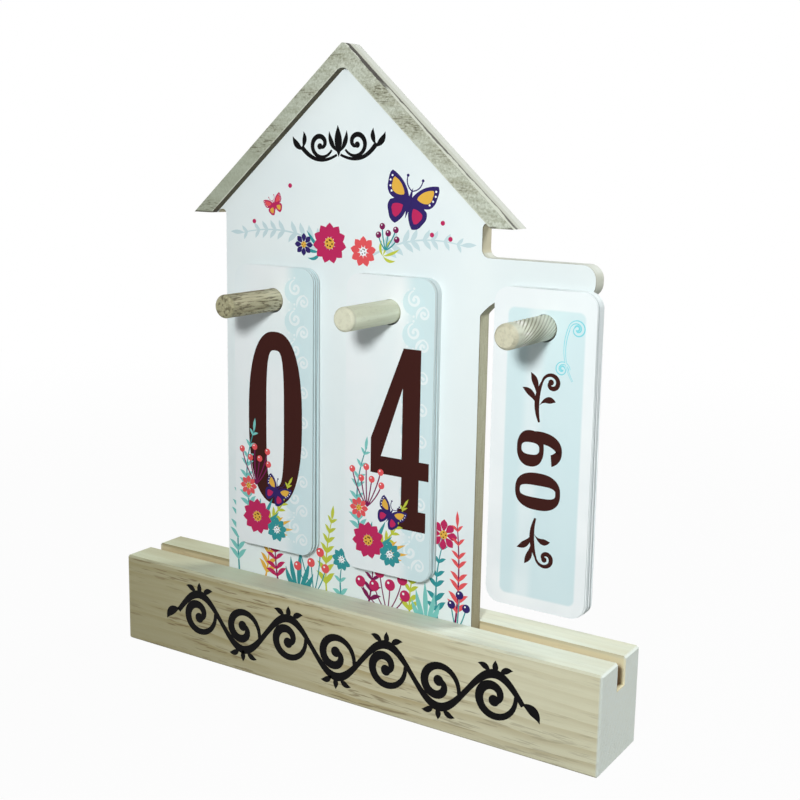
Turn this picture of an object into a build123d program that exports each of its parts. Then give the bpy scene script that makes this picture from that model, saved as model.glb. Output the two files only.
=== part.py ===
from build123d import *
import math
import os

# A perpetual desk calendar. A grooved pine block carries a house-shaped panel with an arm to one side.
# Three dowel pegs in the panel carry stacks of hanging cards: tens and units of the day, and the month.
# Millimetres. The origin is the middle of the underside of the base, +X runs along the base to the
# viewer's right, +Y to the back and +Z up.

# Base block
base_length = 200.0
base_depth = 30.0
base_height = 34.0
base_edge_chamfer = 0.7
front_rail_depth = 12.2
groove_depth = 9.5
groove_play = 0.2

# House panel
panel_thickness = 6.0
panel_offset = -6.1
wall_width = 105.6
eave_above_arm = 9.6
eave_overhang = 12.5
roof_rise = 58.2
apex_round = 1.2
relief_width = 3.8
relief_rise = 1.4

# Arm of the panel, with an eye that holds the month peg
arm_above_peg = 19.5
arm_bar_height = 10.2
arm_tip_overhang = 6.2
arm_tip_round = 4.5
arm_root_round = 2.8
bracket_drop = 8.3
bracket_root_round = 1.5
eye_wall = 3.95
eye_root_round = 1.5

# Roof trim
trim_thickness = 3.0
trim_width = 5.4
trim_inner_round = 3.5

# Pegs
peg_diameter = 8.0
peg_reach = 31.0
peg_tip_chamfer = 0.8
peg_glue_gap = 0.05

# Cards, each with one hole that is wider than its peg, so that the card hangs from the top of the hole
card_width = 35.0
card_height = 103.0
card_thickness = 0.3
card_corner_radius = 5.0
hole_from_top = 11.95
hole_play = 0.35
hang_gap = 0.1

# Places of the stacks: above the base, beside each other, and beside the right wall
card_clearance = 13.0
number_gap = 13.9
number_shift = -3.55
month_gap = 7.9

# Air between the cards of each stack, and how far loose cards hang out of line
tens_air = 0.8
units_air = 0.12
month_air = 0.12
sway_deg = 0.35
sway_step_deg = 137.5

# Cards in each stack, and how many of them have gone to its back, which sets the date that shows
tens_count = 4
units_count = 10
month_count = 12
tens_turned_count = 0
units_turned_count = 4
month_turned_count = 8

# Share of a short edge that a round at its end may take up
round_share = 0.45
cut_overrun = 5.0

# Places that follow from the sizes above
groove_width = panel_thickness + 2 * groove_play
groove_floor = base_height - groove_depth
panel_front = front_rail_depth + groove_play - base_depth / 2
panel_back = panel_front + panel_thickness
peg_radius = peg_diameter / 2
hole_radius = peg_radius + hole_play
hole_drop = hole_play - hang_gap

# Heights on the panel, from its bottom edge, so that the cards hang clear of the base
peg_height = groove_depth + card_clearance + card_height - hole_from_top + hole_drop
arm_height = peg_height + arm_above_peg
bar_bottom = arm_height - arm_bar_height
eave_height = arm_height + eave_above_arm
roof_top = eave_height + roof_rise

# Places across the panel, from the middle of its walls
wall_half = wall_width / 2
roof_half = wall_half + eave_overhang
tens_peg_offset = number_shift - (card_width + number_gap) / 2
units_peg_offset = number_shift + (card_width + number_gap) / 2
month_peg_offset = wall_half + month_gap + card_width / 2
peg_offsets = {"tens": tens_peg_offset, "units": units_peg_offset, "month": month_peg_offset}
eye_radius = peg_radius + peg_glue_gap + eye_wall
eye_left = month_peg_offset - eye_radius
eye_right = month_peg_offset + eye_radius
arm_tip = eye_right + arm_tip_overhang


def upright(x, y, z):
    """The plane through a point that faces the viewer, with its own y axis up."""
    return Plane(origin=(x, y, z), x_dir=(1, 0, 0), z_dir=(0, -1, 0))


def panel_plane(y):
    """The upright plane at depth y whose origin is the middle of the panel's bottom edge."""
    return upright(panel_offset, y, groove_floor)


def corner(sketch, x, y):
    """The vertex of a flat shape that lies on a point."""
    return min(sketch.vertices(), key=lambda v: (v.center() - Vector(x, y)).length)


def rounded(sketch, points, radius):
    """The flat shape with the corners at some points rounded."""
    return fillet([corner(sketch, *point) for point in points], radius)


def base_block():
    """The pine block: all edges broken, with one groove from end to end."""
    block = Pos(0, 0, base_height / 2) * Box(base_length, base_depth, base_height)
    block = chamfer(block.edges(), base_edge_chamfer)
    groove = Box(base_length + 2 * cut_overrun, groove_width, groove_depth + cut_overrun)
    groove_middle = panel_front + panel_thickness / 2
    return block - Pos(0, groove_middle, groove_floor + (groove_depth + cut_overrun) / 2) * groove


def arm_line():
    """The right-hand edge of the panel below the eave: arm, eye of the month peg, bracket and wall."""
    bracket_root = bar_bottom - bracket_drop
    run = eye_left - wall_half
    bracket_radius = (run**2 + bracket_drop**2) / (2 * bracket_drop)
    half_turn = math.asin(run / bracket_radius) / 2
    bracket_middle = (
        eye_left - bracket_radius * math.sin(half_turn),
        bar_bottom - bracket_radius * (1 - math.cos(half_turn)),
    )
    eye_bottom = (month_peg_offset, peg_height - eye_radius)
    return [
        Line((wall_half, eave_height), (wall_half, arm_height)),
        Line((wall_half, arm_height), (arm_tip, arm_height)),
        Line((arm_tip, arm_height), (arm_tip, bar_bottom)),
        Line((arm_tip, bar_bottom), (eye_right, bar_bottom)),
        Line((eye_right, bar_bottom), (eye_right, peg_height)),
        ThreePointArc((eye_right, peg_height), eye_bottom, (eye_left, peg_height)),
        Line((eye_left, peg_height), (eye_left, bar_bottom)),
        ThreePointArc((eye_left, bar_bottom), bracket_middle, (wall_half, bracket_root)),
        Line((wall_half, bracket_root), (wall_half, 0)),
    ]


def roof_line():
    """The panel's edge from the left wall over the roof to the right wall, with a relief under each eave."""
    relief_top = eave_height + relief_rise
    left_relief = (-wall_half - relief_width, eave_height)
    right_relief = (wall_half + relief_width, eave_height)
    return [
        ThreePointArc(
            (-wall_half, eave_height), (-wall_half - relief_width / 2, relief_top), left_relief
        ),
        Line(left_relief, (-roof_half, eave_height)),
        Line((-roof_half, eave_height), (0, roof_top)),
        Line((0, roof_top), (roof_half, eave_height)),
        Line((roof_half, eave_height), right_relief),
        ThreePointArc(
            right_relief, (wall_half + relief_width / 2, relief_top), (wall_half, eave_height)
        ),
    ]


def house_panel():
    """The house with its arm, cut from one board, with a hole for each peg."""
    walls = [
        Line((wall_half, 0), (-wall_half, 0)),
        Line((-wall_half, 0), (-wall_half, eave_height)),
    ]
    outline = make_face(walls + roof_line() + arm_line())
    tip_round = min(arm_tip_round, round_share * arm_bar_height, 2 * round_share * arm_tip_overhang)
    eye_round = min(eye_root_round, (arm_tip_overhang - tip_round) * 2 * round_share)
    outline = rounded(outline, [(0, roof_top)], apex_round)
    outline = rounded(outline, [(wall_half, arm_height)], arm_root_round)
    outline = rounded(outline, [(arm_tip, arm_height), (arm_tip, bar_bottom)], tip_round)
    outline = rounded(outline, [(eye_left, bar_bottom), (eye_right, bar_bottom)], eye_round)
    outline = rounded(outline, [(wall_half, bar_bottom - bracket_drop)], bracket_root_round)
    for offset in peg_offsets.values():
        outline -= Pos(offset, peg_height) * Circle(peg_radius + peg_glue_gap)
    return extrude(panel_plane(panel_back) * outline, amount=panel_thickness)


def roof_trim():
    """The chevron along the roof: two bands as one strip, cut level at the eaves, rounded at the ridge."""
    slope = math.atan2(roof_rise, roof_half)
    inner_half = roof_half - trim_width / math.sin(slope)
    inner_top = roof_top - trim_width / math.cos(slope)
    outer = Polygon(
        (-roof_half, eave_height), (roof_half, eave_height), (0, roof_top), align=None
    )
    inner = Polygon(
        (-inner_half, eave_height), (inner_half, eave_height), (0, inner_top), align=None
    )
    outer = rounded(outer, [(0, roof_top)], apex_round)
    inner = rounded(inner, [(0, inner_top)], trim_inner_round)
    return extrude(panel_plane(panel_front) * (outer - inner), amount=trim_thickness)


def peg(offset):
    """A dowel from the back of the panel to its tip in front, with the tip chamfered."""
    plane = upright(panel_offset + offset, panel_back, groove_floor + peg_height)
    dowel = extrude(plane * Circle(peg_radius), amount=panel_thickness + peg_reach)
    tip = dowel.faces().sort_by(Axis.Y)[0]
    return chamfer(tip.edges(), peg_tip_chamfer)


def card(offset, layers_behind, pitch, sway):
    """A card with one hole, hanging on a peg in front of some other cards, turned a little about the peg."""
    middle = hole_from_top - hole_drop - card_height / 2
    outline = Pos(0, middle) * RectangleRounded(card_width, card_height, card_corner_radius)
    outline -= Pos(0, -hole_drop) * Circle(hole_radius)
    back = panel_front - (layers_behind + 1) * pitch + card_thickness
    plane = upright(panel_offset + offset, back, groove_floor + peg_height)
    return extrude(plane * Rot(0, 0, sway) * outline, amount=card_thickness)


def stack(count, offset, air):
    """The cards of one peg, front to back. The front card hangs straight, the loose ones a little askew."""
    sways = [sway_deg * math.sin(math.radians(sway_step_deg) * place) for place in range(count)]
    pitch = card_thickness + air
    return [card(offset, count - 1 - place, pitch, sway) for place, sway in enumerate(sways)]


def all_parts():
    """Every piece of the calendar by its name. Behind each front card the numbers go on in order."""
    parts = {"base_block": base_block(), "house_panel": house_panel(), "roof_trim": roof_trim()}
    for name, offset in peg_offsets.items():
        parts[f"peg_{name}"] = peg(offset)
    for place, solid in enumerate(stack(tens_count, tens_peg_offset, tens_air)):
        parts[f"tens_card_{(tens_turned_count + place) % tens_count}"] = solid
    for place, solid in enumerate(stack(units_count, units_peg_offset, units_air)):
        parts[f"units_card_{(units_turned_count + place) % units_count}"] = solid
    for place, solid in enumerate(stack(month_count, month_peg_offset, month_air)):
        parts[f"month_card_{(month_turned_count + place) % month_count + 1:02d}"] = solid
    return parts


os.makedirs("parts", exist_ok=True)
for part_name, solid in all_parts().items():
    export_step(solid, f"parts/{part_name}.step")
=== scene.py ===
# %% [markdown]
# # A perpetual desk calendar
# The solids of the calendar are already packed as a fixed frame: a pine block, a house-shaped panel, a roof
# trim, three pegs and twenty-six cards. This lesson dresses them: it places the camera and the light, gives
# every board its finish, turns the pegs on a numpy lathe and prints the panel and the cards with thin layers
# of ink.

import bpy
import numpy as np
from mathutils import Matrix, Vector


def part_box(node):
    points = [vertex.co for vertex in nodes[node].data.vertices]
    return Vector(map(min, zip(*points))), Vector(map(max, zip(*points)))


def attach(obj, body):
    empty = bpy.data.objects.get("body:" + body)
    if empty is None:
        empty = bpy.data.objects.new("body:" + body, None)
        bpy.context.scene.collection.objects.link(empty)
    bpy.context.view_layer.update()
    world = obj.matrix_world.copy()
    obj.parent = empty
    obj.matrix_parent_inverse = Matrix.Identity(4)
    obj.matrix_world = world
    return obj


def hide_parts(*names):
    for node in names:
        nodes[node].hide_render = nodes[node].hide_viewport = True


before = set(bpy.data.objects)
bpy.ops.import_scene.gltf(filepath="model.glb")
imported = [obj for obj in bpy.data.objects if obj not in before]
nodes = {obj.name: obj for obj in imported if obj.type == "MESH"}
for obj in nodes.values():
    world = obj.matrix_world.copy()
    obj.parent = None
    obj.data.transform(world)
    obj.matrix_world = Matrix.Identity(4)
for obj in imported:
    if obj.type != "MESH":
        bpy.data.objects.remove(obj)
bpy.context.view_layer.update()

# %% [markdown]
# ## Camera
# The calendar is seen from a little above and well to its right, close enough for strong perspective. A
# camera could be aimed with a constraint, but a plain matrix made from three angles is easier to read back:
# its columns are the camera's right, up and back directions.

# %% Camera
MM = 0.001


def camera_axes(azimuth, elevation, roll):
    """Back points from the object to the camera, right lies level, and both turn about back by the roll."""
    a, e, r = np.radians([azimuth, elevation, roll])
    back = np.array([np.sin(a) * np.cos(e), -np.cos(a) * np.cos(e), np.sin(e)])
    level = np.array([np.cos(a), np.sin(a), 0.0])
    up = np.cross(back, level)
    return np.cos(r) * level + np.sin(r) * up, np.cos(r) * up - np.sin(r) * level, back


def put_in_scene(thing):
    """Links an object to the scene."""
    bpy.context.scene.collection.objects.link(thing)
    return thing


def stood_at(thing, place, axes):
    """Puts a camera or lamp at a place with its right, up and back along three directions."""
    stand = np.eye(4)
    stand[:3, :3] = np.stack(axes, axis=1)
    stand[:3, 3] = place
    thing.matrix_world = stand.T
    return put_in_scene(thing)


lens = bpy.data.cameras.new("camera")
lens.lens = 55.57
lens.sensor_width = 36.0
lens.shift_x = -0.0305
lens.shift_y = -0.0234
lens.clip_start = 0.01
lens.dof.use_dof = False
viewpoint = np.array([237.52, -346.61, 190.97]) * MM
camera = stood_at(bpy.data.objects.new("camera", lens), viewpoint, camera_axes(31.55, 10.59, 1.226))
bpy.context.scene.camera = camera
print("camera at", viewpoint)

# %% [markdown]
# ## Shader words
# A finish is a tree of nodes. Wiring it by hand hides the idea, so one small class stands for an output
# socket and lets sums and products of sockets be written as plain Python. Every other node comes from its
# one method.


# %% Wires between shader nodes
class Wire:
    """An output socket of a shader tree. Arithmetic on wires and numbers adds Math nodes."""

    def __init__(self, tree, socket=None):
        self.tree = tree
        self.socket = socket

    def node(self, kind, settings, inputs, out=0):
        """A shader node: first its settings, then a number, a colour or a wire for each socket."""
        made = self.tree.nodes.new("ShaderNode" + kind)
        for name, value in settings.items():
            setattr(made, name, value)
        for key, value in inputs.items():
            if isinstance(value, Wire):
                self.tree.links.new(value.socket, made.inputs[key])
            else:
                made.inputs[key].default_value = value
        return Wire(self.tree, made.outputs[out] if made.outputs else None)

    def out(self, key):
        """Another output of the same node."""
        return Wire(self.tree, self.socket.node.outputs[key])

    def sum(self, operation, first, second=0.0):
        """A Math node on two wires or numbers."""
        return self.node("Math", {"operation": operation}, {0: first, 1: second})

    def __add__(self, other):
        return self.sum("ADD", self, other)

    def __sub__(self, other):
        return self.sum("SUBTRACT", self, other)

    def __rsub__(self, other):
        return self.sum("SUBTRACT", other, self)

    def __mul__(self, other):
        return self.sum("MULTIPLY", self, other)

    def __pow__(self, other):
        return self.sum("POWER", self, other)

    def __abs__(self):
        return self.sum("ABSOLUTE", self)

    __radd__ = __add__
    __rmul__ = __mul__


# %% Words for finishes
def screen(red, green, blue):
    """A colour as seen on a screen, 0 to 255, turned into the linear numbers that shaders use."""
    seen = np.array([red, green, blue]) / 255
    linear = np.where(seen <= 0.04045, seen / 12.92, ((seen + 0.055) / 1.055) ** 2.4)
    return (*linear.tolist(), 1.0)


def new_finish(name):
    """An empty material, and a loose wire to start its tree from."""
    material = bpy.data.materials.new(name)
    material.use_nodes = True
    material.node_tree.nodes.clear()
    return material, Wire(material.node_tree)


def object_point(start):
    """Where a surface point lies in its object's own frame: whole, and as x, y and z."""
    point = start.node("TexCoord", {}, {}, "Object")
    x = point.node("SeparateXYZ", {}, {"Vector": point})
    return point, x, x.out("Y"), x.out("Z")


def facing(start):
    """Which way a surface looks in its object's own frame: the y and z parts of its normal."""
    normal = start.node("TexCoord", {}, {}, "Normal")
    parts = start.node("SeparateXYZ", {}, {"Vector": normal})
    return parts.out("Y"), parts.out("Z")


def larger(first, second):
    """The larger of a wire and another wire or number."""
    return first.sum("MAXIMUM", first, second)


def rise(value, low, high):
    """0 at low, 1 at high and a smooth step between; low may be above high."""
    swap = low > high
    ends = {"From Min": min(low, high), "From Max": max(low, high)}
    heights = {"To Min": float(swap), "To Max": float(not swap)}
    smooth = {"interpolation_type": "SMOOTHSTEP"}
    return value.node("MapRange", smooth, {"Value": value, **ends, **heights})


def blend(share, first, second):
    """From one colour to another as share goes from 0 to 1; each is a wire or a colour on a screen."""
    ends = [end if isinstance(end, Wire) else screen(*end) for end in (first, second)]
    return share.node("Mix", {"data_type": "RGBA"}, {0: share, 6: ends[0], 7: ends[1]}, 2)


def grain(point, stretch, detail=3.0, rough=0.55, bend=0.0):
    """Noise with so many blobs per metre along x, y and z; it lies mostly between 0.3 and 0.7."""
    scaled = point.node("VectorMath", {"operation": "MULTIPLY"}, {0: point, 1: stretch})
    knobs = {"Scale": 1.0, "Detail": detail, "Roughness": rough, "Distortion": bend}
    return point.node("TexNoise", {}, {"Vector": scaled, **knobs})


def coat(material, tint, roughness, height, specular=0.5):
    """Ends a finish: a Principled shader with tint, roughness, bump height in metres and specular level."""
    bump = height.node("Bump", {}, {"Height": height, "Strength": 1.0, "Distance": 1.0})
    inputs = {"Base Color": tint, "Roughness": roughness, "Normal": bump, "Specular IOR Level": specular}
    shader = tint.node("BsdfPrincipled", {}, inputs)
    shader.node("OutputMaterial", {}, {"Surface": shader})
    return material


def wear(node, material):
    """Gives a solid of the frame its finish."""
    nodes[node].material_slots[0].material = material
    print(node, "wears", material.name)


print("finishes can be written")

# %% [markdown]
# ## Light and floor
# One soft lamp stands to the front right, a little above the calendar, so that the pegs throw short soft
# shadows down to the left and the right end of the base is the brightest. A wide lamp behind the right
# shoulder lights the edges and the back, a weak one stands low on the left, and a pale room fills the rest.
# The floor is a wide disc that the camera sees as nearly white; it still takes the calendar's shadow.


# %% Lamps and room
def soft_lamp(name, place, aim, size, watts):
    """A square lamp at one place that looks at another; the camera does not see it."""
    lamp = bpy.data.lights.new(name, "AREA")
    lamp.size = size
    lamp.energy = watts
    back = (np.array(place) - aim) / np.linalg.norm(np.array(place) - aim)
    level = np.cross([0, 0, 1], back)
    level /= np.linalg.norm(level)
    stood = stood_at(bpy.data.objects.new(name, lamp), place, (level, np.cross(back, level), back))
    stood.visible_camera = False
    print(name, "gives", watts, "W from", place)


soft_lamp("key_lamp", (0.151, -0.371, 0.262), (0.0, 0.0, 0.11), 0.055, 1.38)
soft_lamp("shoulder_lamp", (0.62, 0.62, 0.80), (0.0, 0.0, 0.1), 0.4, 8.8)
soft_lamp("left_lamp", (-0.85, 0.30, 0.18), (0.0, 0.0, 0.1), 0.6, 2.4)


def seen_directly(start):
    """1 for rays from the camera, mirror rays and rays through glass, which all show the background."""
    path = start.node("LightPath", {}, {}, "Is Camera Ray")
    return larger(path, larger(path.out("Is Glossy Ray"), path.out("Is Transmission Ray")))


room = bpy.data.worlds.new("room")
room.use_nodes = True
room.node_tree.nodes.clear()
sky = Wire(room.node_tree)
room_level = 0.17
brightness = room_level + (1 - room_level) * seen_directly(sky)
glow = sky.node("Background", {}, {"Color": (1, 1, 1, 1), "Strength": brightness})
glow.node("OutputWorld", {}, {"Surface": glow})
bpy.context.scene.world = room
bpy.context.scene.view_settings.view_transform = "Standard"
print("room of strength", room_level)


# %% Floor
def ring_points(radius, rings, spokes):
    """A disc over ring and spoke: the ring's radius times the cosine and sine of the spoke's turn."""
    r = np.linspace(0.02, 1, rings)[:, None] ** 2 * radius
    turn = np.arange(spokes) * 2 * np.pi / spokes
    return np.stack([r * np.cos(turn), r * np.sin(turn), 0 * r * turn], axis=-1)


def round_faces(rows, columns):
    """Four-cornered faces of a grid whose last column joins its first, one row between two rings."""
    i, j = np.meshgrid(np.arange(rows - 1), np.arange(columns), indexing="ij")
    k = (j + 1) % columns
    corners = np.stack([i, i + 1, i + 1, i], -1) * columns + np.stack([j, j, k, k], -1)
    return corners.reshape(-1, 4).tolist()


def new_piece(name, points, faces, material):
    """A mesh object at the origin, from an array of places in metres and a list of faces."""
    mesh = bpy.data.meshes.new(name)
    mesh.from_pydata(points.reshape(-1, 3).tolist(), [], faces)
    mesh.materials.append(material)
    return put_in_scene(bpy.data.objects.new(name, mesh))


radius, rings, spokes = 3.0, 24, 72
near_white = 0.965
floor_finish, start = new_finish("pale_floor")
_, across, along, _ = object_point(start)
far = rise((across**2 + along**2) ** 0.5, 0.25, 0.8)
bare = start.node("BsdfDiffuse", {}, {"Color": screen(168, 169, 169)})
white = start.node("Emission", {}, {"Color": (1, 1, 1, 1), "Strength": 1.0})
share = seen_directly(start) * (near_white + (1 - near_white) * far)
lit = start.node("MixShader", {}, {0: share, 1: bare, 2: white})
lit.node("OutputMaterial", {}, {"Surface": lit})
floor_faces = round_faces(rings, spokes) + [list(range(spokes))]
floor = new_piece("floor", ring_points(radius, rings, spokes), floor_faces, floor_finish)
print("floor with", len(floor_faces), "faces")

# %% [markdown]
# ## Pine block
# The base is a length of planed pine with a groove sawn along it. Real pine is a stack of growth rings round
# a line that lies outside the block, so the finish is worked out in the solid: the distance from that line,
# bent a little by slow noise, counts the rings. Long streaks run along the block on its sides, and the sawn
# ends show the same rings as arcs. A flat picture of wood would not agree from face to face; this one does.

# %% Pine
PITH_Y, PITH_Z, RINGS_PER_METRE = 0.074, -0.040, 430.0
GROOVE_Y, GROOVE_HALF, GROOVE_FLOOR, BLOCK_TOP, BLOCK_END = 0.0004, 0.0032, 0.0245, 0.034, 0.100
pine, start = new_finish("planed_pine")
point, x, y, z = object_point(start)
wander = grain(point, (9.0, 22.0, 22.0), 2.0) - 0.5
from_pith = ((y - PITH_Y) ** 2 + (z - PITH_Z) ** 2) ** 0.5 + 0.007 * wander
ring = start.sum("FRACT", from_pith * RINGS_PER_METRE)
late_wood = rise(ring, 0.35, 0.88) * rise(ring, 1.0, 0.93)
fibre = grain(point, (26.0, 900.0, 900.0), 4.0, 0.6)
patches = grain(point, (14.0, 60.0, 60.0), 2.0)
fleck = rise(grain(point, (95.0, 1300.0, 1300.0), 2.0, 0.5), 0.57, 0.67) * rise(patches, 0.36, 0.56)
left_end = rise(x, 0.06, -BLOCK_END)
right_end = rise(x, 0.0, BLOCK_END)
sawn_end = rise(abs(x), BLOCK_END - 0.0010, BLOCK_END - 0.0003)
groove_wall = rise(abs(y - GROOVE_Y), GROOVE_HALF + 0.0002, GROOVE_HALF - 0.0001)
groove_wall = groove_wall * rise(z, BLOCK_TOP - 0.0004, BLOCK_TOP - 0.0015)
groove_wall = groove_wall * rise(z, GROOVE_FLOOR - 0.0005, GROOVE_FLOOR - 0.0001)
_, looks_up = facing(start)
lit_top_mask = rise(looks_up, 0.5, 0.9)
tint = blend(late_wood * rise(patches, 0.25, 0.7), (213, 209, 177), (176, 161, 117))
tint = blend(rise(fibre, 0.35, 0.72) * 0.5, tint, (192, 184, 146))
# Painted shade: the block darkens towards its left end, away from the key lamp.
tint = blend(left_end * 0.65, tint, (150, 143, 102))
tint = blend(fleck * (0.7 - 0.3 * right_end), tint, (116, 97, 62))
# Painted light: the block turns paler and cooler towards its right end, nearer the key lamp.
tint = blend(right_end * 0.4, tint, (213, 215, 192))
# Painted light: faces that look up get a paler, cooler tint in patches, as if lit from above; towards the
# left end this tint is darker, as painted shade.
lit_top_tint = blend(left_end, (222, 233, 220), (203, 211, 182))
tint = blend(lit_top_mask * rise(patches, 0.10, 0.75), tint, lit_top_tint)
tint = blend(sawn_end * (0.55 + 0.45 * fibre), tint, (224, 235, 231))
# Painted shade: the groove walls darken below their top and turn dark brown deep in the slot near the right
# end, where the front rail shades them; the cream near the top and the end is the wood.
deep = blend(rise(x, 0.0800, 0.0940), (192, 150, 104), (128, 70, 32))
inside = rise(z, BLOCK_TOP - 0.0018, BLOCK_TOP - 0.0050)
inside = inside * rise(x, BLOCK_END - 0.0008, BLOCK_END - 0.0020)
tint = blend(groove_wall * 0.85, tint, blend(inside, (230, 221, 182), deep))
relief = 0.00005 * fibre + 0.00003 * late_wood - 0.00004 * fleck
coat(pine, tint, 0.50 + 0.25 * fibre, relief, 0.35)
wear("base_block", pine)

# %% [markdown]
# ## House panel
# The house is cut by laser from 6 mm fibreboard with a printed white face. Front, back and edges of one
# board look quite different, so the finish asks which way a point looks and where it lies in the thickness of
# the board: the face is smooth and white, the back is raw brown board, and the edge shows pressed fibres,
# browner where the beam scorched it.

# %% White faced board
ARM_END, NOTCH_FLOOR = 0.084, 0.1574
low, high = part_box("house_panel")
board, start = new_finish("white_faced_board")
point, x, y, z = object_point(start)
looks_back, looks_up = facing(start)
face = rise(looks_back, -0.6, -0.9)
raw_back = rise(looks_back, 0.6, 0.9)
upward = rise(looks_up, 0.3, 0.6)
fibre = grain(point, (1500.0, 2600.0, 1500.0), 3.0, 0.65)
cloud = grain(point, (28.0, 28.0, 28.0), 2.0)
layer = grain(point, (130.0, 2200.0, 130.0), 2.0)
skin = rise(abs(y - (low.y + high.y) / 2), 0.0021, 0.0028)
edge = blend(fibre, (129, 123, 96), (173, 168, 141))
# Painted light: the cut edges turn lighter and greener higher up, where light falls on them below the eaves.
edge = blend(rise(z, 0.040, 0.135), edge, blend(fibre, (151, 149, 124), (201, 203, 178)))
edge = blend(rise(layer, 0.50, 0.68) * 0.4, edge, (112, 102, 80))
edge = blend(skin * 0.3, edge, (112, 103, 82))
rim = rise(y, low.y + 0.0007, low.y + 0.0001)
near = rise(y, low.y + 0.0032, low.y + 0.0020)
# Painted light: edges that look up are pale grey, lit copies of the brown edge; on the front half of the
# board they are a little darker.
roof = blend(near * 0.7, (214, 219, 212), (188, 193, 180))
edge = blend(upward * (0.65 + 0.3 * fibre), edge, roof)
# Painted light: the edges turn pale towards the end of the arm, where the lamps light them.
edge = blend(rise(x, ARM_END - 0.010, ARM_END) * 0.6, edge, (220, 226, 217))
# Painted light: the short edges above the notch floor, under the eave, are lightened against the eave's
# shade.
notch = rise(z, NOTCH_FLOOR, NOTCH_FLOOR + 0.0010) * rise(x, 0.062, 0.052) * (1 - upward)
edge = blend(notch * 0.9, edge, (199, 194, 169))
edge = blend(rim * rise(layer, 0.38, 0.56) * 0.8, edge, (84, 76, 56))
back = blend(fibre, (150, 124, 92), (186, 160, 124))
back = blend(rise(cloud, 0.4, 0.65) * 0.35, back, (132, 106, 76))
print_face = blend(rise(cloud, 0.35, 0.65), (228, 239, 240), (232, 242, 242))
# Painted shade: the white face is a little darker towards the right, where the key lamp is nearest.
print_face = blend(rise(x, 0.040, 0.080) * 0.6, print_face, (219, 228, 228))
tint = blend(raw_back, blend(face, edge, print_face), back)
relief = (0.00006 - 0.00005 * face) * fibre
coat(board, tint, 0.78 - 0.40 * face + 0.06 * fibre, relief, 0.4)
wear("house_panel", board)

# %% [markdown]
# ## Roof trim
# The strip along the roof is thin grey-green board. Its face has a level grain with fine light and dark dust
# and patches of dark fibre flecks. The laser left the cut edges dark: deep brown on the inner edge and in
# scorched stretches along the outer one, most of all near the ridge. How far a point lies inside the roof
# line follows from the line's slope and top.

# %% Speckled trim board
ROOF_X, ROOF_TOP, ROOF_SLOPE = -0.0061, 0.2256, 0.8913
low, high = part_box("roof_trim")
trim, start = new_finish("speckled_trim_board")
point, x, y, z = object_point(start)
looks_back, looks_up = facing(start)
face = rise(looks_back, -0.6, -0.9)
under = rise(looks_up, -0.2, -0.5)
streak = grain(point, (60.0, 400.0, 900.0), 3.0, 0.6)
patches = grain(point, (30.0, 200.0, 150.0), 2.0)
dust = grain(point, (1300.0, 1300.0, 1300.0), 3.0, 0.75)
speck = rise(grain(point, (330.0, 900.0, 2000.0), 3.0, 0.6), 0.50, 0.64) * rise(patches, 0.46, 0.62)
tint = blend(rise(streak, 0.35, 0.68), (192, 199, 184), (172, 178, 160))
tint = blend(rise(patches, 0.40, 0.66) * 0.5, tint, (162, 162, 138))
tint = blend(rise(dust, 0.48, 0.66) * 0.6, tint, (132, 133, 111))
tint = blend(rise(dust, 0.46, 0.36) * 0.5, tint, (214, 220, 206))
tint = blend(rise(x, 0.0, -0.06) * 0.7, tint, (158, 166, 146))
tint = blend(speck * 0.85, tint, (88, 84, 62))
inward = (ROOF_TOP - z - ROOF_SLOPE * abs(x - ROOF_X)) * (1 + ROOF_SLOPE**2) ** -0.5
# Painted highlight: a light line along the inner edge of the face, where that edge catches the light.
tint = blend(rise(inward, 0.0048, 0.0053) * rise(streak, 0.30, 0.55) * 0.7, tint, (216, 221, 206))
ragged = grain(point, (220.0, 90.0, 220.0), 3.0, 0.6)
depth = (y - low.y) * (1 / (high.y - low.y))
bold = rise(grain(point, (75.0, 20.0, 75.0), 2.0), 0.50, 0.60)
joint = rise(depth + 0.75 * (ragged - 0.5) + 0.3 * bold, 0.70, 0.86)
rim = rise(depth, 0.14, 0.02) * rise(ragged, 0.40, 0.55)
ridge = rise(z + 0.016 * (ragged - 0.5), 0.2085, 0.2160)
ridge = ridge * rise(depth + 1.2 * (ragged - 0.5), 0.10, 0.30)
scorch = larger(ridge, larger(joint * 0.9, rim * 0.7))
outer_edge = blend(scorch, (198, 203, 188), (42, 39, 29))
inner_edge = blend(rise(streak, 0.35, 0.7), (76, 70, 46), (52, 46, 29))
eave = rise(z, low.z + 0.0008, low.z + 0.0003) * rise(ragged, 0.38, 0.50)
tint = blend(eave * 0.8, tint, (64, 60, 44))
tint = blend(face, blend(under, outer_edge, inner_edge), tint)
coat(trim, tint, 0.62 + 0.2 * speck, 0.00005 * streak - 0.00006 * speck, 0.3)
wear("roof_trim", trim)

# %% [markdown]
# ## Pegs
# Three short lengths of dowel, each from another stick: one brown and coarse with flecks that wind about it,
# one smooth and pale, one with the spiral flutes of a glue dowel. A lathe is the natural tool, so each peg is
# a surface of two parameters, the place along the axis and the turn about it. The radius falls off round the
# tip, and flutes take a little more away. The flecks turn by a fixed angle for each metre along the peg.

# %% Dowel finishes
TWIST, FLUTES, LEAD, PEG_FRONT = -57.0, 20, 54.0, -0.0336


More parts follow.
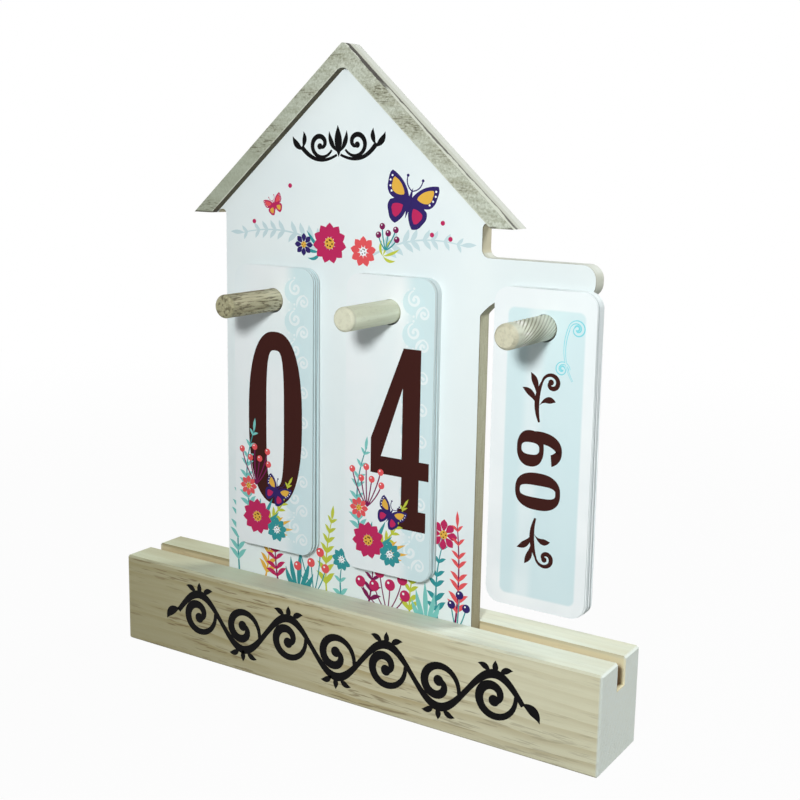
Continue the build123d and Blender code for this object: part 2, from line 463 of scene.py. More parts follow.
def dowel(name, light, dark, cut, fleck_strength, ring_centre, fluted=False):
    """Wood with fibres along y; the cut tip shows rings about a line a little way from the axis."""
    material, start = new_finish(name)
    point, x, y, z = object_point(start)
    fibre = grain(point, (1100.0, 60.0, 1100.0), 4.0, 0.6)
    band = grain(point, (380.0, 16.0, 380.0), 2.0, 0.5, 0.4)
    turned = {"Vector": point, "Center": (ring_centre[0], 0.0, ring_centre[1]), "Angle": TWIST * y}
    twisted = point.node("VectorRotate", {"rotation_type": "Y_AXIS"}, turned)
    fleck = grain(twisted, (1500.0, 120.0, 1500.0), 3.0, 0.6) + 0.07 * fleck_strength
    fleck = rise(fleck, 0.55, 0.70)
    radius = ((x - ring_centre[0]) ** 2 + (z - ring_centre[1]) ** 2) ** 0.5
    ring = rise(start.sum("FRACT", radius * 800.0 + 2.5 * band), 0.45, 0.95)
    tip = rise(y, PEG_FRONT + 0.0024, PEG_FRONT + 0.0008)
    rear = rise(y, PEG_FRONT + 0.0156, PEG_FRONT + 0.0236)
    tint = blend(rise(band, 0.35, 0.68), light, dark)
    tint = blend(rise(fibre, 0.40, 0.70) * 0.4, tint, dark)
    # Painted light: towards its back, near the card, the peg is paler against the shade there, most of all on
    # the coarse peg.
    tint = blend(rear * 0.35 * fleck_strength, tint, (222, 220, 194))
    tint = blend(fleck * 0.9 * fleck_strength, tint, (98, 88, 62))
    if fluted:
        low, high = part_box("peg_month")
        turn = start.sum("ARCTAN2", z - (low.z + high.z) / 2, x - (low.x + high.x) / 2)
        wave = start.sum("COSINE", FLUTES * (turn + 2 * np.pi / (LEAD * MM) * (high.y - y)))
        cut_in = rise(y, low.y + 0.0035, low.y + 0.0075)
        # Painted highlight: a patchy bright glint on the fluted peg a little behind its plain tip.
        shine = rise(y, low.y + 0.0125, low.y + 0.0075) * cut_in * rise(band, 0.40, 0.55)
        inner = rise(y, low.y + 0.014, low.y + 0.022)
        tint = blend(shine * 0.8, tint, (228, 230, 224))
        # Painted shadow: a darker band across the middle of the fluted peg.
        tint = blend(rise(y, low.y + 0.008, low.y + 0.012) * 0.6, tint, (154, 160, 140))
        # Painted light: the back of the fluted peg, near the card, is paler, and its flutes are shaded less
        # there.
        tint = blend(inner, tint, (228, 234, 217))
        # Painted shade: the flute grooves darken, most of all towards the tip.
        tint = blend(cut_in * rise(wave, -0.1, 0.85) * (0.75 - 0.4 * inner), tint, (104, 104, 84))
    worn = rise(grain(point, (620.0, 90.0, 620.0), 2.0), 0.50, 0.62) * fleck_strength
    rings = tip * ring * rise(fibre, 0.35, 0.65) * (0.3 + 0.5 * fleck_strength)
    tint = blend(rings, blend(tip * 0.8, tint, cut), dark)
    tint = blend(tip * worn * 0.8, tint, (88, 82, 56))
    relief = 0.00008 * fibre - 0.00010 * fleck_strength * fleck
    return coat(material, tint, 0.55 + 0.2 * fibre, relief)


print("dowel finish ready")


# %% Turned pegs
END_ROWS, BODY_ROWS, PEG_SPOKES = 9, 150, 240
PLAIN_TIP, RUN_OUT = 4.0, 3.0


def peg_points(axis_x, axis_z, back, tip, radius, soft, flute_depth):
    """Radius over place and turn, in mm: full, tapered at both ends, less a wave that winds round."""
    taper, drop = soft
    ends = taper * (1 - np.cos(np.linspace(0, np.pi / 2, END_ROWS)))
    place = np.concatenate([ends, np.linspace(taper, tip - taper, BODY_ROWS)[1:-1], tip - ends[::-1]])
    short = np.clip(1 - np.minimum(place, tip - place) / taper, 0, 1)
    body = radius - drop * short**1.6
    turn = np.linspace(0, 2 * np.pi, PEG_SPOKES, endpoint=False)
    wave = np.cos(FLUTES * (turn + 2 * np.pi * place[:, None] / LEAD))
    run_out = np.clip((tip - PLAIN_TIP - place) / RUN_OUT, 0, 1)[:, None]
    r = body[:, None] - run_out * flute_depth * np.clip(wave, 0, 1)
    away = back - place[:, None] + 0 * turn
    return np.stack([axis_x + r * np.cos(turn), away, axis_z + r * np.sin(turn)], axis=-1) * MM


def turned_peg(node, material, soft, flute_depth=0.0):
    """A peg in place of a plain one, on the same axis and of the same length, with both ends closed."""
    low, high = (np.array(corner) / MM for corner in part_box(node))
    axis = (low + high) / 2
    length, radius = high[1] - low[1], (high[0] - low[0]) / 2
    points = peg_points(axis[0], axis[2], high[1], length, radius, soft, flute_depth)
    rows, columns = points.shape[:2]
    ends = [list(range(columns))[::-1], list(range((rows - 1) * columns, rows * columns))]
    faces = [face[::-1] for face in round_faces(rows, columns)] + ends
    peg = new_piece(node + "_turned", points, faces, material)
    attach(peg, "house")
    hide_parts(node)
    print(peg.name, rows, "rings of", columns, "points")


tan, buff, ivory = (160, 157, 124), (199, 199, 177), (196, 192, 166)
coarse = dowel("coarse_brown_dowel", (204, 199, 166), (138, 130, 98), tan, 1.0, (-0.031, 0.141))
smooth = dowel("smooth_cream_dowel", (231, 236, 212), (214, 218, 191), buff, 0.1, (0.020, 0.133))
spiral = dowel("fluted_dowel", (197, 203, 185), (168, 172, 152), ivory, 0.2, (0.080, 0.144), True)
turned_peg("peg_tens", coarse, (1.2, 0.9))
turned_peg("peg_units", smooth, (1.0, 0.8))
turned_peg("peg_month", spiral, (1.6, 0.95), flute_depth=0.2)

# %% [markdown]
# ## Ink
# The panel, the base and the cards are printed. An image would be the usual way, but ink can also be modelled
# as what it is: a film a few hundredths of a millimetre thick. Every printed shape is a ribbon, a row of
# point pairs left and right of a line: a leaf is a ribbon that is wide in the middle, a dot is made of the
# chords of a circle, a figure of ribbons of even width. The film has a top, a bottom and walls, so it is
# closed.

# %% Ink colours
INK = {
    "black": (7, 6, 7),
    "brown": (58, 26, 22),
    "navy": (50, 38, 100),
    "plum": (122, 32, 84),
    "magenta": (188, 44, 94),
    "coral": (226, 88, 92),
    "mustard": (226, 178, 74),
    "lime": (190, 200, 70),
    "teal": (56, 148, 152),
    "sea": (124, 198, 192),
    "mist": (196, 218, 222),
    "aqua": (207, 230, 233),
    "sky": (130, 212, 222),
    "lace": (230, 241, 242),
    "white": (239, 245, 246),
}

ink, start = new_finish("printing_ink")
point, *_ = object_point(start)
film = start.node("Attribute", {"attribute_name": "ink"}, {}, "Color")
tooth = grain(point, (2600.0, 2600.0, 2600.0), 2.0, 0.6)
uneven = grain(point, (120.0, 120.0, 120.0), 2.0)
gain = 0.93 + 0.10 * uneven + 0.04 * tooth
grey = start.node("CombineColor", {}, {0: gain, 1: gain, 2: gain})
product = {"data_type": "RGBA", "blend_type": "MULTIPLY"}
tint = start.node("Mix", product, {0: 1.0, 6: film, 7: grey}, 2)
coat(ink, tint, 0.50 + 0.15 * tooth, 0.000006 * tooth, 0.08)
print(len(INK), "inks")


# %% Ribbons
def stroke(path, width):
    """Each point of the path, plus and minus half the width along the path's normal there."""
    path = np.asarray(path, float)
    way = np.gradient(path, axis=0)
    way /= np.linalg.norm(way, axis=1, keepdims=True)
    across = np.stack([-way[:, 1], way[:, 0]], axis=1)
    half = np.broadcast_to(width, len(path))[:, None] / 2
    return np.stack([path + across * half, path - across * half], axis=1)


def bow(start, end, sag=0.0, count=13):
    """A parabola: the line from start to end, pushed aside by sag times its length at mid way."""
    u = np.linspace(0, 1, count)[:, None]
    start, end = np.array(start, float), np.array(end, float)
    line = end - start
    return start + u * line + 4 * sag * u * (1 - u) * np.array([-line[1], line[0]])


def arc(centre, radii, first, last, count=25):
    """Points of an ellipse between two angles in degrees."""
    turn = np.radians(np.linspace(first, last, count))
    return np.stack([centre[0] + radii[0] * np.cos(turn), centre[1] + radii[1] * np.sin(turn)], axis=1)


def leaf(start, end, width, sag=0.0, belly=1.0):
    """A bent line whose width goes as a sine; a belly above 1 moves the widest place towards the end."""
    u = np.linspace(0, 1, 13)
    return stroke(bow(start, end, sag), width * np.maximum(np.sin(np.pi * u**belly), 0.04))


def between(*pairs):
    """A patch between two sides: lines that bow out by a pair's last number join it to the next pair."""
    runs = [(bow(p, r, -out), bow(q, s, out)) for (p, q, out), (r, s, _) in zip(pairs, pairs[1:])]
    sides = [np.concatenate([side[0][:1]] + [run[1:] for run in side]) for side in zip(*runs)]
    return np.stack(sides, axis=1)


def dot(centre, radius):
    """A disc as its chords: at minus the cosine of a turn, as far up and down as its sine."""
    turn = np.linspace(0.12, np.pi - 0.12, 13)
    way = centre[0] - radius * np.cos(turn)
    half = radius * np.sin(turn)
    return np.stack([np.stack([way, centre[1] + half], 1), np.stack([way, centre[1] - half], 1)], axis=1)


def hoop(centre, outer, inner, square, hollow, count=72):
    """A closed ribbon between two ovals: powers of sine and cosine, one for each, straighten their sides."""
    turn = np.arange(count) * 2 * np.pi / count
    unit = np.stack([np.cos(turn), np.sin(turn)], axis=1)
    ovals = [np.sign(unit) * np.abs(unit) ** (2 / power) for power in (hollow, square)]
    return np.stack([centre + ovals[0] * inner, centre + ovals[1] * outer], axis=1)


def inked(ink, layer, *ribbons, closed=False):
    """Ribbons with their ink, and how many films lie under their top."""
    return [(ribbon, closed, ink, layer) for ribbon in ribbons]


def placed(motif, at, size=1.0, turn=0.0, lift=0):
    """A motif scaled, mirrored where a size is negative, turned by degrees, moved and lifted by layers."""
    a = np.radians(turn)
    spin = np.array([[np.cos(a), np.sin(a)], [-np.sin(a), np.cos(a)]])
    return [((ribbon * size) @ spin + at, *how, layer + lift) for ribbon, *how, layer in motif]


def arranged(*rows):
    """Motifs in a row, each with its place, its lean in degrees and its lift in layers."""
    return [film for motif, at, lean, lift in rows for film in placed(motif, at, 1.0, lean, lift)]


print("a leaf is", leaf((0, 0), (0, 1), 0.4).shape)


# %% From ribbons to films of ink
FILM, STEP, STEPS = 0.009, 0.0009, 9


def film_faces(count, closed):
    """Faces of one film: top, bottom, two walls and, if the ribbon is open, two ends."""
    i = np.arange(count if closed else count - 1)
    j = (i + 1) % count
    left, right, under = 2 * i, 2 * i + 1, 2 * count
    next_left, next_right = 2 * j, 2 * j + 1
    top = np.stack([left, right, next_right, next_left], 1)
    bottom = top[:, ::-1] + under
    wall_left = np.stack([left, next_left, next_left + under, left + under], 1)
    wall_right = np.stack([next_right, right, right + under, next_right + under], 1)
    ends = np.array([[1, 0, under, under + 1]])
    last = np.array([[under - 2, under - 1, 2 * under - 1, 2 * under - 2]])
    sides = [top, bottom, wall_left, wall_right]
    return np.concatenate(sides if closed else sides + [ends, last])


def right_way_round(ribbon):
    """The ribbon with its sides swapped if its faces would look away from the viewer."""
    edge = ribbon[:-1, 1] - ribbon[:-1, 0]
    step = ribbon[1:, 0] - ribbon[:-1, 0]
    turn = np.sum(edge[:, 0] * step[:, 1] - edge[:, 1] * step[:, 0])
    return ribbon if turn > 0 else ribbon[:, ::-1]


def print_on(name, motif, origin, right, up, body, slot):
    """One mesh of all the films of a motif, on the plane through origin that right and up span. Films of one
    layer differ by a tiny step, so that no two tops lie in one plane where they cross."""
    out = np.cross(right, up)
    points, faces, tints, count = [], [], [], 0
    for order, (ribbon, closed, ink_name, layer) in enumerate(motif):
        flat = right_way_round(ribbon).reshape(-1, 2) * MM
        ground = origin + flat[:, :1] * right + flat[:, 1:] * up
        thick = layer * FILM + order % STEPS * STEP
        points += [ground + thick * MM * out, ground]
        faces.append(film_faces(len(ribbon), closed) + count)
        tints.append(np.tile(screen(*INK[ink_name]), (2 * len(flat), 1)))
        count += 2 * len(flat)
    piece = new_piece(name, np.concatenate(points), np.concatenate(faces).tolist(), ink)
    attribute = piece.data.color_attributes.new("ink", "FLOAT_COLOR", "POINT")
    attribute.data.foreach_set("color", np.concatenate(tints).astype(np.float32).ravel())
    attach(piece, body)
    return piece


print("film of", FILM, "mm")

# %% [markdown]
# ## Plants and ornaments
# The prints are made of a few stock motifs: sprigs, daisies, berries, tufts of grass, butterflies and
# scrolls. Each is a short function that gives its ribbons round its own origin, growing upwards, so that one
# motif can be set down in many sizes, colours and leanings.


# %% Motifs
def polar(length, degrees):
    """The point at some distance in some direction; 90 degrees is up."""
    return length * np.array([np.cos(np.radians(degrees)), np.sin(np.radians(degrees))])


def sprig(length, pairs, leaf_size, ink, stem_ink, lean=50.0, sag=0.06, fat=0.36):
    """A bent stem with pairs of leaves that get shorter towards the tip, and one leaf at the tip."""
    stem = bow((0, 0), (0, length), sag, 25)
    motif = inked(stem_ink, 1, stroke(stem, np.linspace(0.8, 0.35, 25)))
    for spot in np.linspace(4, 22, pairs).astype(int):
        way = stem[spot + 1] - stem[spot - 1]
        heading = np.degrees(np.arctan2(way[1], way[0]))
        size = leaf_size * (1.1 - spot / 40)
        for side in (-1, 1):
            tip = stem[spot] + polar(size, heading + side * lean)
            motif += inked(ink, 2, leaf(stem[spot], tip, fat * size, -0.1 * side))
    last = 0.7 * leaf_size
    return motif + inked(ink, 2, leaf(stem[-2], stem[-1] + (0, last), fat * last))


def daisy(radius, count, ink, heart):
    """Petals round a heart, each widest near its end, with a ring of small dots on the heart."""
    turns = np.arange(count) * 360 / count + 90
    petals = [leaf(polar(0.12, t), polar(1.0, t), 0.5, belly=1.5) for t in turns]
    seeds = [dot(polar(0.16, t), 0.045) for t in turns[::2]]
    flower = inked(ink, 3, *petals) + inked(heart, 4, dot((0, 0), 0.28)) + inked("brown", 5, *seeds)
    return placed(flower, (0, 0), radius)


def berries(height, count, ink, stem_ink, spread=80.0, size=1.5):
    """Berries on thin stalks that fan out from one foot, long and short in turn."""
    turns = 90 + np.linspace(-spread / 2, spread / 2, count)
    ends = [polar(height * (1.0 if k % 2 else 0.72), t) for k, t in enumerate(turns)]
    stalks = [stroke(bow((0, 0), end, 0.002 * (turn - 90)), 0.45) for end, turn in zip(ends, turns)]
    shine = [dot(end + (-0.3 * size, 0.35 * size), 0.22 * size) for end in ends]
    fruit = [dot(end, size) for end in ends]
    return inked(stem_ink, 1, *stalks) + inked(ink, 2, *fruit) + inked("white", 3, *shine)


def tuft(height, count, ink, spread):
    """Blades of grass from one foot that bend outwards, shorter to the sides."""
    turns = 90 + np.linspace(-spread / 2, spread / 2, count)
    sizes = height * (1 - 0.35 * np.abs(np.linspace(-1, 1, count)))
    blades = [leaf((0, 0), polar(h, t), 0.13 * height, 0.003 * (t - 90)) for h, t in zip(sizes, turns)]
    return inked(ink, 2, *blades)


def butterfly(span, wing, patch, heart):
    """Two broad and two small wings with patches and beads, a body and two feelers; a half is mirrored."""
    root, bulge = ((0.02, 0.03), (0.02, 0.08), 0.12), ((0.40, 0.02), (0.46, 0.42), 0.14)
    upper = between(root, bulge, ((0.49, 0.24), (0.49, 0.26), 0))
    root, bulge = ((0.02, -0.10), (0.02, 0.02), 0.10), ((0.17, -0.40), (0.37, -0.05), 0.16)
    lower = between(root, bulge, ((0.34, -0.27), (0.35, -0.25), 0))
    beads = (0.44, 0.33), (0.455, 0.25), (0.43, 0.16), (0.385, 0.085)
    half = inked(wing, 2, upper, lower)
    half += inked(patch, 3, (upper - (0.34, 0.22)) * 0.58 + (0.32, 0.21))
    half += inked(heart, 3, (lower - (0.25, -0.20)) * 0.55 + (0.23, -0.19))
    half += inked("white", 4, *[dot(bead, 0.018) for bead in beads])
    half += inked(wing, 2, stroke(bow((0.01, 0.20), (0.15, 0.42), -0.18), 0.02), dot((0.15, 0.42), 0.025))
    body = inked(wing, 5, leaf((0, -0.26), (0, 0.25), 0.075))
    return placed(half + placed(half, (0, 0), (-1, 1)) + body, (0, 0), span)


def scroll(size, ink, heavy, turns, first):
    """A spiral that winds inwards from a first angle, heavy in the middle, with a bead at its eye."""
    u = np.linspace(0, 1, 45)
    r = size * (1 - 0.84 * u**0.9)
    a = np.radians(first) + 2 * np.pi * turns * u
    path = np.stack([r * np.cos(a), r * np.sin(a)], axis=1)
    width = heavy * (0.45 + 0.55 * np.sin(np.pi * u))
    return inked(ink, 1, stroke(path, width), dot(path[-1], 0.62 * heavy))


print("motifs:", *[kind.__name__ for kind in (sprig, daisy, berries, tuft, butterfly, scroll)])

# %% [markdown]
# ## Print on the base
# A black running scroll lies along the front of the block: a wavy stem, a spiral in every hollow of the wave
# and leaves on every crest. It is an old border pattern, and the wave gives the place of all the rest.


# %% Running scroll
def running_scroll(half_waves, step, tall, heavy):
    """A stem on a sine wave. Every half wave holds a spiral in its hollow and three leaves on its crest."""
    reach = half_waves * step / 2
    way = np.linspace(-reach, reach, 24 * half_waves + 1)
    bend = np.pi * (way + reach) / step
    stem = np.stack([way, tall * np.sin(bend)], axis=1)
    motif = inked("black", 1, stroke(stem, heavy * (0.62 + 0.38 * np.sin(bend) ** 2)))
    for k in range(half_waves):
        side = 1 if k % 2 == 0 else -1
        middle = -reach + (k + 0.5) * step
        coil = scroll(0.40 * step, "black", heavy, 1.25, -12.0)
        motif += placed(coil, (middle - 0.02 * step, side * 0.06 * tall), (1, -side))
        for lean, size in ((-62, 0.62), (0, 0.55), (62, 0.62)):
            foot = np.array([middle + 0.03 * lean, side * tall])
            tip = foot + polar(size * tall, 90 - lean) * (1, side)
            motif += inked("black", 1, leaf(foot, tip, 0.26 * tall, 0.15 * side * np.sign(lean)))
    for end in (-1, 1):
        foot, tip = (end * (reach - 0.6), 0.6), (end * (reach + 6), -4.4)
        motif += inked("black", 1, leaf(foot, tip, 3.4, end * 0.16))
    return motif


X, Z = np.array([1.0, 0, 0]), np.array([0, 0, 1.0])
low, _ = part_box("base_block")
scroll_z = 17.2 * MM
front = np.array([0.0, low.y, scroll_z])
motif = running_scroll(7, 21.0, 8.4, 3.15)
base_print = print_on("base_scroll_print", motif, front, X, Z, "base", "pine")
print(base_print.name, len(motif), "films")

# %% [markdown]
# ## Print on the house
# The white face carries a small black flourish in the gable, a swag of daisies and butterflies under it, and
# a row of plants that grow out of the base. The plants stand behind the cards, so most of them show between
# and below the cards only, as in a garden behind a fence.


# %% Gable flourish, swag and garden
def flourish(wide, heavy):
    """Two mirrored scrolls that grow from one middle leaf, with a leaf over each."""
    pen = heavy / wide
    middle = inked("black", 1, leaf((0, -0.05), (0, 0.24), 0.085))
    half = placed(scroll(0.14, "black", pen, 1.25, 205.0), (0.205, 0.075))
    stem = bow((0.02, -0.03), (0.43, 0.06), -0.2, 25)
    bud, side = leaf((0.41, 0.03), (0.53, 0.16), 0.06, -0.12), leaf((0.42, 0.05), (0.40, 0.20), 0.05, 0.12)
    inner = leaf((0.02, 0.0), (0.10, 0.19), 0.05, -0.1)
    half += inked("black", 1, stroke(stem, pen * np.linspace(0.5, 1.0, 25)), bud, side, inner)
    return placed(middle + half + placed(half, (0, 0), (-1, 1)), (0, 0), wide)


def swag():
    """Two pale leafy branches that sag from the walls, daisies where they meet, and butterflies above."""
    beads = [(28, 164), (32, 168), (35, 163), (-46, 165), (-30, 178)]
    return arranged(
        (sprig(44, 9, 6.0, "mist", "mist", 48, -0.10), (-9, 155), 83, 0),
        (sprig(38, 8, 6.0, "mist", "mist", 48, 0.10), (3, 155), -81, 0),
        (tuft(9, 5, "teal", 150), (-17, 156), 40, 1),
        (tuft(8, 4, "lime", 110), (9, 156), -50, 1),
        (berries(8, 5, "plum", "teal", 80, 1.1), (10, 158), -10, 3),
        (daisy(7.0, 11, "magenta", "mustard"), (-13, 159), 0, 3),
        (daisy(5.2, 9, "coral", "white"), (1, 157), 0, 3),
        (daisy(3.9, 8, "navy", "mustard"), (-24, 158), 0, 2),
        (butterfly(20, "navy", "mustard", "magenta"), (19, 174), -16, 1),
        (butterfly(8, "magenta", "coral", "mustard"), (-37, 171), 24, 0),
        (inked("magenta", 4, *[dot(spot, 0.8) for spot in beads]), (0, 0), 0, 0),
    )


def garden(ground):
    """A row of plants that grow from one line."""
    aster = placed(daisy(4.2, 9, "teal", "white"), (0, 16)) + sprig(13.5, 3, 4.4, "sea", "teal")
    tall_daisy = placed(daisy(5.4, 8, "magenta", "mustard"), (0, 33)) + sprig(30, 6, 5.4, "teal", "teal", 46)
    return arranged(
        (sprig(40, 8, 6.0, "sea", "teal", 42, 0.03, 0.30), (-53.7, ground), -1, 0),
        (sprig(25, 6, 6.0, "mustard", "mustard", 45, -0.05, 0.30), (-42, ground), -5, 0),
        (sprig(22, 6, 5.8, "magenta", "plum", 56, 0.04, 0.32), (-35, ground), 4, 2),
        (tuft(16, 5, "teal", 74), (-26, ground), -3, 0),
        (berries(17, 5, "coral", "teal", 62, 1.7), (-19, ground), 6, 2),
        (sprig(31, 7, 6.2, "lime", "lime", 40, 0.05, 0.32), (-13, ground), -4, 0),
        (aster, (-6.2, ground), 2, 2),
        (sprig(20, 5, 5.6, "plum", "plum", 52, -0.04, 0.30), (4.5, ground), -6, 0),
        (berries(15, 6, "magenta", "plum", 92, 2.1), (13, ground), 4, 2),
        (sprig(18, 5, 5.6, "lime", "lime", 46, 0.05, 0.33), (22.5, ground), -4, 0),
        (tuft(15, 5, "sea", 70), (29, ground), 3, 1),
        (tall_daisy, (34, ground), -2, 0),
        (sprig(38, 8, 5.8, "coral", "plum", 44, -0.03, 0.30), (40.3, ground), 0, 2),
        (berries(13, 3, "navy", "teal", 36, 1.5), (41.3, ground), -3, 4),
    )


low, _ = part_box("house_panel")
face = np.array([0.0, low.y, 0.0])
GROUND = 31.0
motif = placed(flourish(36, 1.7), (-9.5, 190), turn=3) + swag() + garden(GROUND)
house_print = print_on("house_garden_print", motif, face, X, Z, "house", "white_board")
print(house_print.name, len(motif), "films,", len(house_print.data.polygons), "faces")

# %% [markdown]
# ## Figures
# The figures are tall and narrow, with stems and bars of nearly even width. A type face would bring its own
# curves along; here each figure is drawn from bars and arcs in a box 24 wide and 62 high, so that all ten
# share their stem, their bar and their curves.

# %% Ten figures
STEM, BAR, TALL = 7.7, 6.4, 62.0


def bar(start, end, width):
    """A straight piece of a figure."""
    return stroke([start, end], width)


def bent(*runs):
    """A curved piece of a figure: a stroke of stem width along runs of points."""
    return stroke(np.concatenate(runs), STEM)


def figure(number):
    """The ribbons of a figure that stands on the line y = 0, centred on x = 0."""
    low_bar, top_bar = BAR / 2, TALL - BAR / 2
    if number == 0:
        return inked("brown", 1, hoop((0, 31.0), (12.05, 31.5), (3.97, 24.8), 2.45, 3.5), closed=True)
    if number == 6:
        back = bent(arc((0, 31), (7.8, 27.8), 38, 197))
        bowl = hoop((0, 18.8), (11.7, 18.8), (3.9, 12.4), 2.3, 2.8)
        return inked("brown", 1, back) + inked("brown", 1, bowl, closed=True)
    if number == 8:
        upper = hoop((0, 46.2), (10.7, 15.8), (3.6, 9.6), 2.2, 2.6)
        lower = hoop((0, 17.6), (11.9, 17.6), (4.1, 11.4), 2.2, 2.6)
        return inked("brown", 1, upper, lower, closed=True)
    if number == 9:
        return placed(figure(6), (0, TALL), turn=180)
    pieces = {
        1: [bar((2, 0), (2, TALL), STEM), bar((-8, low_bar), (12, low_bar), BAR)]
        + [np.array([[(-9.6, 52.2), (-6.6, 46.8)], [(0, TALL), (0, 52.6)]])],
        2: [bent(arc((0, 49.4), (7.8, 9.2), 170, -28, 17), bow((6.4, 43.2), (-8.2, 3.4), 0.04, 13)[1:])]
        + [bar((-11.4, low_bar), (11.4, low_bar), BAR)],
        3: [bent(arc((-0.4, 46.3), (7.6, 12.3), 160, -90)), bent(arc((-0.4, 18.6), (8.2, 15.4), 90, -160))],
        4: [bar((5, 0), (5, TALL), 6.95), bar((-11, 21.1), (12.3, 21.1), 6.2)]
        + [bar((0.1, 3.5), (11.4, 3.5), 7.0)]
        + [np.array([[(-11, 22.0), (-7.6, 22.0)], [(-11, 30.1), (-4.8, 30.1)], [(1.6, TALL), (6.2, TALL)]])],
        5: [bar((-8.4, top_bar), (10, top_bar), BAR), bar((-6.0, 29.6), (-6.6, TALL), 6.4)]
        + [bent(arc((-0.8, 20.0), (8.6, 16.6), 128, -158))],
        7: [bar((-11.4, top_bar), (11.4, top_bar), BAR), bar((-9.2, 50), (-9.2, TALL), 4.4)]
        + [stroke(bow((7.6, 59), (-3.3, 0.7), 0.06), STEM)],
    }
    return inked("brown", 1, *pieces[number])


print([len(figure(n)) for n in range(10)], "ribbons in the figures 0 to 9")

# %% [markdown]
# ## Cards
# Twenty-six coated cards hang in three stacks. Their stock is white with a soft tint: the number cards are
# aqua along the right side, the month cards have an aqua field inside a white border. Soft tints suit a
# shader, and crisp line work suits ink, so the tint is a material on the card and the lace, figures and
# flowers are films. The edges show the layers of a stack as broken grey lines, which are painted shadow
# of the gaps between cards.


# %% Card stock
CARD_MIDDLE = 0.0985
FIELD_X, FIELD_Z, FIELD_HALF_X, FIELD_HALF_Z = 0.0007, -0.0011, 0.0109, 0.0442


def number_tint(across, _):
    """Aqua along the right side of a card."""
    return rise(across, 0.004, 0.0105)


def month_tint(across, up):
    """Aqua inside a white border: the way out of a rounded field, soft at its edge, and a paler streak."""
    sideways = larger(abs(across - FIELD_X) - FIELD_HALF_X, 0.0)
    height = larger(abs(up - FIELD_Z) - FIELD_HALF_Z, 0.0)
    inside = rise((sideways**2 + height**2) ** 0.5, 0.0027, 0.0018)
    streak = rise(abs(across + 0.0035 - 0.03 * up), 0.0045, 0.001)
    return inside * (1 - 0.45 * streak)


def card_stock(stack, low_white, high_white, painted_gap_shade, tint_of):
    """Coated card of one stack: across and up run from the stack's middle, deep from front to back."""
    low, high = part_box("peg_" + stack)
    boxes = [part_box(node) for node in nodes if node.startswith(stack + "_card_")]
    front_y, back_y = min(box[0].y for box in boxes), max(box[1].y for box in boxes)
    material, start = new_finish(stack + "_card_stock")
    point, x, y, z = object_point(start)
    looks_back, _ = facing(start)
    front = rise(looks_back, -0.6, -0.9)
    edge = rise(abs(looks_back), 0.6, 0.3)
    pulp = grain(point, (900.0, 900.0, 900.0), 3.0, 0.6)
    cloud = grain(point, (40.0, 40.0, 40.0), 2.0)
    tinted = front * tint_of(x - (low.x + high.x) / 2, z - CARD_MIDDLE)
    # Painted light and shade: where low and high whites differ, the stock is lighter low down and darker
    # towards the top, against the falloff of the key lamp.
    white = blend(rise(z, 0.06, 0.145), low_white, high_white)
    tint = blend(rise(cloud, 0.35, 0.65), white, (234, 241, 242))
    tint = blend(tinted * (0.8 + 0.2 * cloud), tint, (204, 228, 231))
    deep = (y - front_y) * (1 / (back_y - front_y))
    layers = grain(point, (14.0, 1500.0, 9.0), 2.0)
    # Painted shadow: dark broken lines across the stack's edge where the gaps between cards lie in shade, one
    # near the front and others at random.
    line = rise(abs(deep - 0.3 - 0.5 * (cloud - 0.5)), 0.13, 0.05)
    line = larger(line, rise(layers, 0.53, 0.62) * 0.6)
    rim = blend(line, (224, 232, 232), (158, 170, 171))
    tint = blend(edge * (1 - painted_gap_shade) * 0.6, tint, (186, 194, 194))
    tint = blend(edge * painted_gap_shade, tint, rim)
    return coat(material, tint, 0.36 + 0.1 * pulp, 0.000008 * pulp, 0.4)


stocks = {
    "tens": card_stock("tens", (229, 240, 241), (229, 240, 241), 0.0, number_tint),
    "units": card_stock("units", (227, 238, 239), (227, 238, 239), 0.8, number_tint),
    # Painted light: the month cards are whiter than the number cards, lit copies of the same stock.
    "month": card_stock("month", (244, 249, 249), (231, 239, 240), 0.8, month_tint),
}
cards = sorted(node for node in nodes if "_card_" in node)
for card in cards:
    nodes[card].material_slots[0].material = stocks[card.split("_")[0]]
print(len(cards), "cards wear", sorted(stocks))


# %% Lace, posy and card prints
def lace():
    """A border along the right side: pale scallops with beads round them, and two curls in each."""
    motif = []
    for y in np.linspace(9, 95, 9):
        spot = np.array([9.4, y])
        beads = [dot(spot + polar(4.6, t), 0.42) for t in range(90, 271, 30)]
        motif += inked("aqua", 1, dot(spot, 4.3)) + inked("lace", 2, *beads)
        motif += placed(scroll(2.9, "lace", 1.0, 1.25, 100.0), spot + (0.4, 1.0), lift=1)
        motif += placed(scroll(2.3, "lace", 0.9, 1.2, 80.0), spot + (3.9, -3.6), (-1, 1), lift=1)
        motif += inked("lace", 2, leaf(spot + (1.0, -5.6), spot + (4.6, -1.0), 1.1, 0.2))
    return motif


def posy():
    """Flowers over the foot of a figure, with leaves, berries and a butterfly that has settled there."""
    return arranged(
        (sprig(36, 8, 5.2, "sea", "teal", 46, 0.10, 0.32), (-9, 8), -1, 0),
        (sprig(22, 6, 4.4, "lime", "lime", 42, -0.12, 0.30), (-6, 8), -36, 0),
        (berries(14, 6, "coral", "plum", 62, 1.2), (-8, 23), -4, 2),
        (tuft(11, 5, "teal", 120), (-5, 9), -25, 1),
        (tuft(9, 4, "mustard", 70), (1, 8), -72, 0),
        (daisy(6.6, 11, "magenta", "mustard"), (-7.4, 11.0), 0, 2),
        (daisy(4.6, 9, "teal", "white"), (1.6, 7.6), 0, 1),
        (daisy(3.8, 8, "coral", "mustard"), (-11.4, 22.0), 0, 2),
        (butterfly(11.5, "navy", "mustard", "magenta"), (1.4, 21.5), -28, 2),
    )


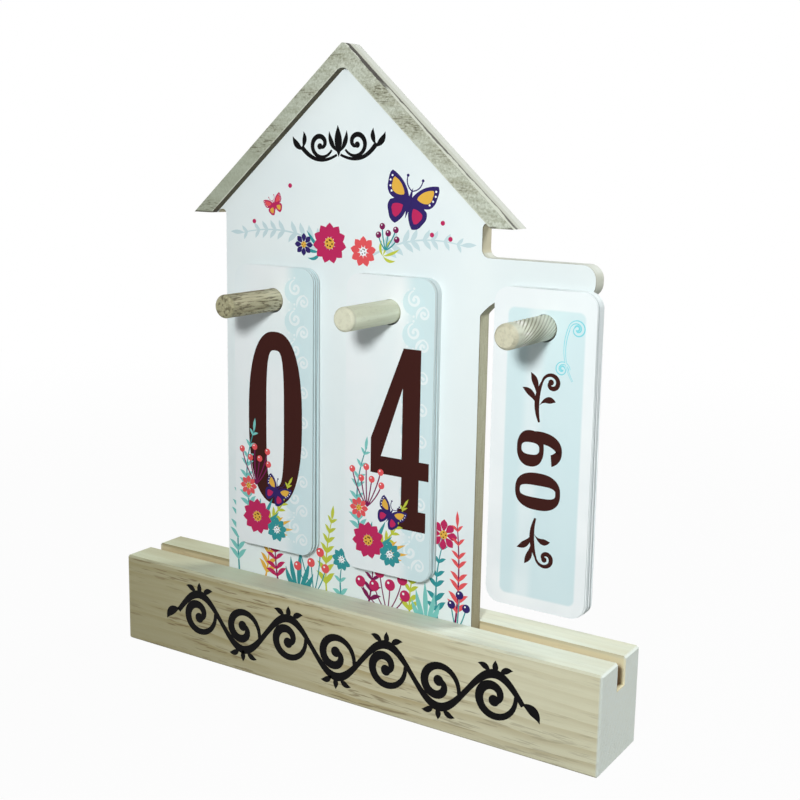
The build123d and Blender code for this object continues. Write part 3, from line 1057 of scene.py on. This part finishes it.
def swash():
    """A stem that grows upwards into a scroll, with three drop-shaped leaves."""
    stem = bow((0, 0), (0.6, 13), 0.10, 25)
    motif = inked("brown", 1, stroke(stem, 0.7 + 1.0 * np.sin(np.linspace(0, np.pi, 25))))
    motif += placed(scroll(3.4, "brown", 1.5, 1.15, 180.0), (3.9, 12.6), (1, -1))
    left, top = leaf((-0.6, 4), (-6.2, 10.5), 2.1, -0.15, 1.8), leaf((-1.2, 7), (-3.4, 15.5), 2.1, -0.1, 1.8)
    return motif + inked("brown", 1, left, top, leaf((-0.4, 5), (5.4, 7.0), 2.1, 0.2, 1.8))


def month_print(number):
    """The month's number, read from bottom to top, between two swashes, and a pale scroll near the top."""
    both = placed(figure(number // 10), (-13.6, 0)) + placed(figure(number % 10), (13.6, 0))
    motif = placed(both, (7.6, 46.0), (0.50, 0.25), 90)
    motif += placed(swash(), (-0.5, 61.5)) + placed(swash(), (-0.5, 30.5), (1, -1))
    for ink, heavy, layer in (("sky", 1.7, 0), ("aqua", 0.8, 1)):
        curl = scroll(2.9, ink, heavy, 1.2, 180.0)
        stem = stroke(bow((10.2, 75.5), (8.3, 91.6), 0.12), heavy * np.linspace(0.3, 0.6, 13))
        motif += inked(ink, 1 + layer, stem)
        motif += placed(curl, (11.2, 91.6), (1, -1), lift=layer)
        motif += placed(curl, (6.6, 79.0), (-0.85, -0.85), lift=layer)
    return motif


def card_face(node):
    """The foot of a card's front face, and its right and up, from the spread of its corner points."""
    mesh = nodes[node].data
    points = np.empty(len(mesh.vertices) * 3, np.float32)
    mesh.vertices.foreach_get("co", points)
    points = points.reshape(-1, 3).astype(float)
    flat = points[:, [0, 2]]
    up = np.linalg.eigh(np.cov(flat.T))[1][:, 1]
    up = up * np.sign(up[1])
    right = np.array([up[1], -up[0]])
    across, along = flat @ right, flat @ up
    foot = (across.min() + across.max()) / 2 * right + along.min() * up
    place = np.array([foot[0], points[:, 1].min(), foot[1]])
    return place, np.array([right[0], 0, right[1]]), np.array([up[0], 0, up[1]])


FOUR_X, FIGURE_X, FIGURE_FOOT = 4.2, 0.85, 17.5
dressed = 0
for card in cards:
    number = int(card.split("_")[2])
    if card.startswith("month"):
        motif = month_print(number)
    else:
        place = (FOUR_X if number == 4 else FIGURE_X, FIGURE_FOOT)
        motif = lace() + placed(figure(number), place, lift=2) + placed(posy(), (0, 0), lift=3)
    piece = print_on(card + "_print", motif, *card_face(card), card, "card_stock")
    dressed += len(piece.data.polygons)
print(len(cards), "card prints with", dressed, "faces")
